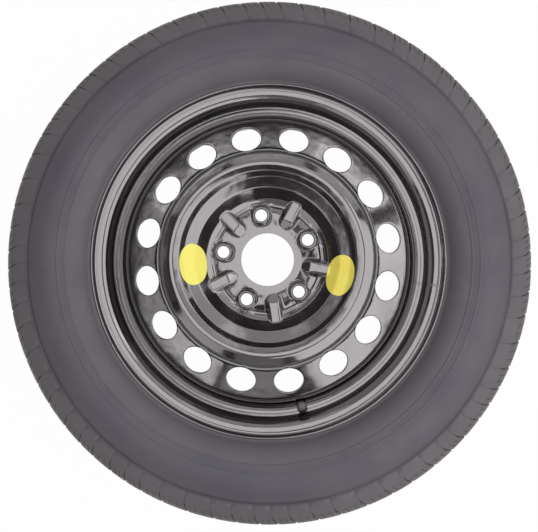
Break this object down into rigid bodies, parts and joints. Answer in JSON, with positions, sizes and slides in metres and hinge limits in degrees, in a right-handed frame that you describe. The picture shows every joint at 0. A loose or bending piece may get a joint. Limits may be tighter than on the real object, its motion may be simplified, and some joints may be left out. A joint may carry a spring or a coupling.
{
  "type": "space saver spare wheel",
  "caption": "Space saver spare wheel: a narrow temporary tyre on a black pressed steel wheel with round vents, a ribbed bolt bowl and a snap-in valve with a screw cap.",
  "frame": {"origin": "centre of the hub's mounting face, on the spin axis", "axes": "+Z along the spin axis, out of the wheel's outboard face, away from the car; +X to the right and +Y up as the picture shows the face"},
  "size_m": [0.667, 0.667, 0.1766],
  "materials": {
    "tyre_rubber": "matt grey-black rubber",
    "rim_paint": "gloss black paint",
    "disc_paint": "gloss black paint",
    "weld_paint": "gloss black paint over weld metal",
    "valve_rubber": "satin black rubber",
    "valve_brass": "machined",
    "core_brass": "machined",
    "gasket_plastic": "white, smooth",
    "seal_rubber": "smooth black rubber",
    "spring_steel": "bright wire",
    "cap_plastic": "satin dark grey plastic",
    "sticker_yellow": "bright yellow film, plain"
  },
  "bodies": {
    "wheel": {"tyre": "tyre_rubber", "rim": "rim_paint", "wheel_disc": "disc_paint", "weld_seams": "weld_paint", "valve_body": "valve_rubber", "valve_stem": "valve_brass", "core_head": "core_brass", "core_barrel": "core_brass", "core_gasket": "gasket_plastic", "core_spring": "spring_steel", "sticker_left": "sticker_yellow", "sticker_right": "sticker_yellow"},
    "core_plunger": {"core_pin": "core_brass", "core_cup": "core_brass", "core_seal": "seal_rubber"},
    "cap_lining": {"cap_seal": "seal_rubber"},
    "cap": {"valve_cap": "cap_plastic"}
  },
  "joints": [
    {"name": "core_press", "type": "slide", "parent": "wheel", "child": "core_plunger", "axis": [-0.0695, 0.3011, 0.9511], "range_m": [-0.0012, 0], "stiffness_N_per_m": 1500, "springref_m": 0.0015, "deforming": ["core_spring"]},
    {"name": "cap_lift", "type": "slide", "parent": "wheel", "child": "cap_lining", "axis": [-0.0695, 0.3011, 0.9511], "range_m": [0, 0.00635]},
    {"name": "cap_turn", "type": "hinge", "parent": "cap_lining", "child": "cap", "pos_m": [0.04333, -0.18766, -0.04615], "axis": [-0.0695, 0.3011, 0.9511], "range_deg": [0, 2880]}
  ],
  "couplings": [
    {"joint": "cap_turn", "follows": "cap_lift", "rad_per_m": 7913.2}
  ]
}
